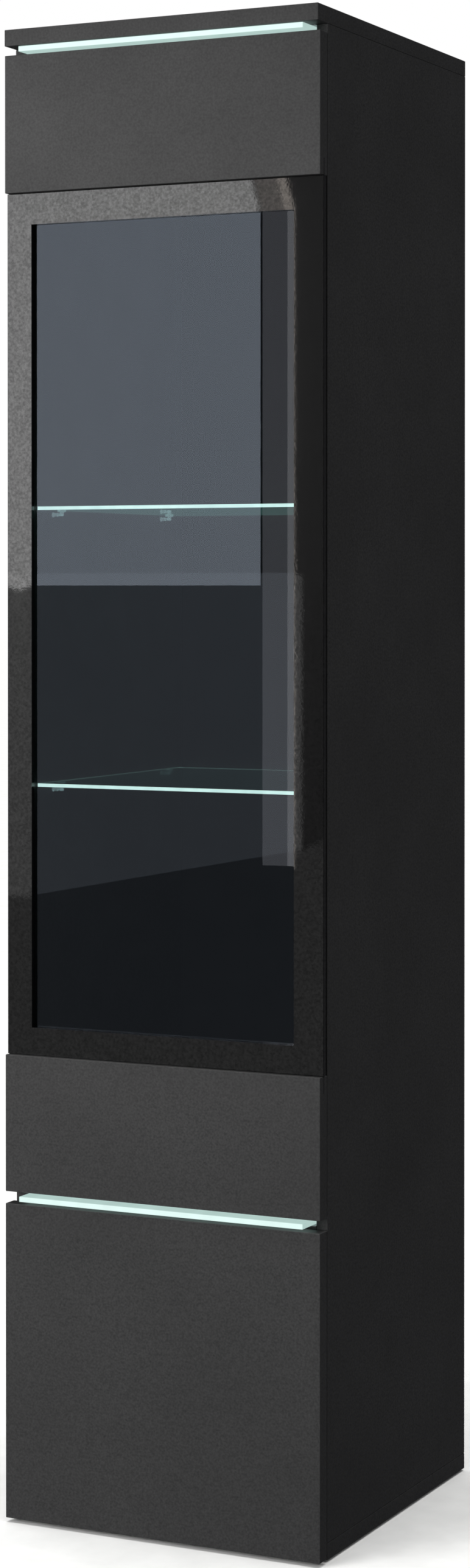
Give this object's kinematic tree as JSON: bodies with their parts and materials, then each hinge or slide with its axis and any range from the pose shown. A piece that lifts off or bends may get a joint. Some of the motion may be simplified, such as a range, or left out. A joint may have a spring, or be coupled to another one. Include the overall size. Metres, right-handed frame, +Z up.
{
  "type": "china cabinet",
  "caption": "Tall narrow display cabinet: a glass door with solid end panels over a solid door, glass shelves inside and a lit glass bar over each door.",
  "frame": {"origin": "on the floor, under the middle of the cabinet's overall box", "axes": "+X to the right, -Y towards the front with the doors, +Z up"},
  "size_m": [0.466, 0.504, 2.003],
  "materials": {
    "carcass_board": "matt melamine, black",
    "back_board": "matt lacquered fibreboard",
    "door_board": "matt lacquer, black",
    "black_frame": "gloss black",
    "pane_glass": "clear, slightly grey",
    "shelf_glass": "clear float glass, green edge",
    "bar_glass": "lit from its back edge",
    "clear_support": "clear moulded",
    "channel_aluminium": "anodised",
    "led_strip": "white",
    "driver_plastic": "moulded",
    "black_plastic": "moulded",
    "gasket_rubber": "matt",
    "hinge_steel": "nickel plated",
    "screw_steel": "zinc plated",
    "cam_zinc": "die cast",
    "bolt_brass": "yellow zinc plated",
    "beech": "raw",
    "plunger_plastic": "moulded"
  },
  "bodies": {
    "root": {"top_board": "carcass_board", "bottom_board": "carcass_board", "left_side_panel": "carcass_board", "right_side_panel": "carcass_board", "back_panel": "back_board", "divider_board": "carcass_board", "top_rail": "carcass_board", "lower_glass_shelf": "shelf_glass", "upper_glass_shelf": "shelf_glass", "lower_shelf_supports": "clear_support", "upper_shelf_supports": "clear_support", "top_light_bar": "bar_glass", "lower_light_bar": "bar_glass", "top_light_channel": "channel_aluminium", "lower_light_channel": "channel_aluminium", "top_led_strip": "led_strip", "lower_led_strip": "led_strip", "led_driver": "driver_plastic", "driver_screws": "screw_steel", "cable_grommet": "black_plastic", "hinge_plates": "hinge_steel", "hinge_arms": "hinge_steel", "hinge_plate_screws": "screw_steel", "latch_housings": "black_plastic", "latch_screws": "screw_steel", "cam_locks": "cam_zinc", "cam_bolts": "bolt_brass", "dowels": "beech", "back_panel_screws": "screw_steel", "wall_bracket": "hinge_steel", "bracket_screw": "screw_steel", "glides": "black_plastic"},
    "upper_door_link": {"upper_hinge_links": "hinge_steel"},
    "upper_door": {"upper_door_top_panel": "door_board", "upper_door_bottom_panel": "door_board", "glass_frame": "black_frame", "glass_gasket": "gasket_rubber", "door_glass": "pane_glass", "upper_hinge_cups": "hinge_steel", "upper_cup_screws": "screw_steel", "upper_strike_plates": "hinge_steel"},
    "lower_door_link": {"lower_hinge_links": "hinge_steel"},
    "lower_door": {"lower_door_panel": "door_board", "lower_hinge_cups": "hinge_steel", "lower_cup_screws": "screw_steel", "lower_strike_plate": "hinge_steel"},
    "upper_top_plunger": {"upper_door_top_plunger": "plunger_plastic"},
    "upper_bottom_plunger": {"upper_door_bottom_plunger": "plunger_plastic"},
    "lower_plunger": {"lower_door_plunger": "plunger_plastic"}
  },
  "joints": [
    {"name": "upper_link_turn", "type": "hinge", "parent": "root", "child": "upper_door_link", "pos_m": [-0.2015, -0.2235, 1.2075], "axis": [0, 0, 1], "range_deg": [0, 19]},
    {"name": "upper_door_swing", "type": "hinge", "parent": "upper_door_link", "child": "upper_door", "pos_m": [-0.2215, -0.2297, 1.2075], "axis": [0, 0, -1], "range_deg": [0, 114]},
    {"name": "lower_link_turn", "type": "hinge", "parent": "root", "child": "lower_door_link", "pos_m": [-0.2015, -0.2235, 0.218], "axis": [0, 0, 1], "range_deg": [0, 19]},
    {"name": "lower_door_swing", "type": "hinge", "parent": "lower_door_link", "child": "lower_door", "pos_m": [-0.2215, -0.2297, 0.218], "axis": [0, 0, -1], "range_deg": [0, 114]},
    {"name": "upper_top_plunger_press", "type": "slide", "parent": "root", "child": "upper_top_plunger", "axis": [0, 1, 0], "range_m": [0, 0.003], "stiffness_N_per_m": 250, "springref_m": -0.004},
    {"name": "upper_bottom_plunger_press", "type": "slide", "parent": "root", "child": "upper_bottom_plunger", "axis": [0, 1, 0], "range_m": [0, 0.003], "stiffness_N_per_m": 250, "springref_m": -0.004},
    {"name": "lower_plunger_press", "type": "slide", "parent": "root", "child": "lower_plunger", "axis": [0, 1, 0], "range_m": [0, 0.003], "stiffness_N_per_m": 250, "springref_m": -0.004}
  ],
  "couplings": [
    {"joint": "upper_link_turn", "follows": "upper_door_swing", "ratio": 0.1666},
    {"joint": "lower_link_turn", "follows": "lower_door_swing", "ratio": 0.1666}
  ]
}
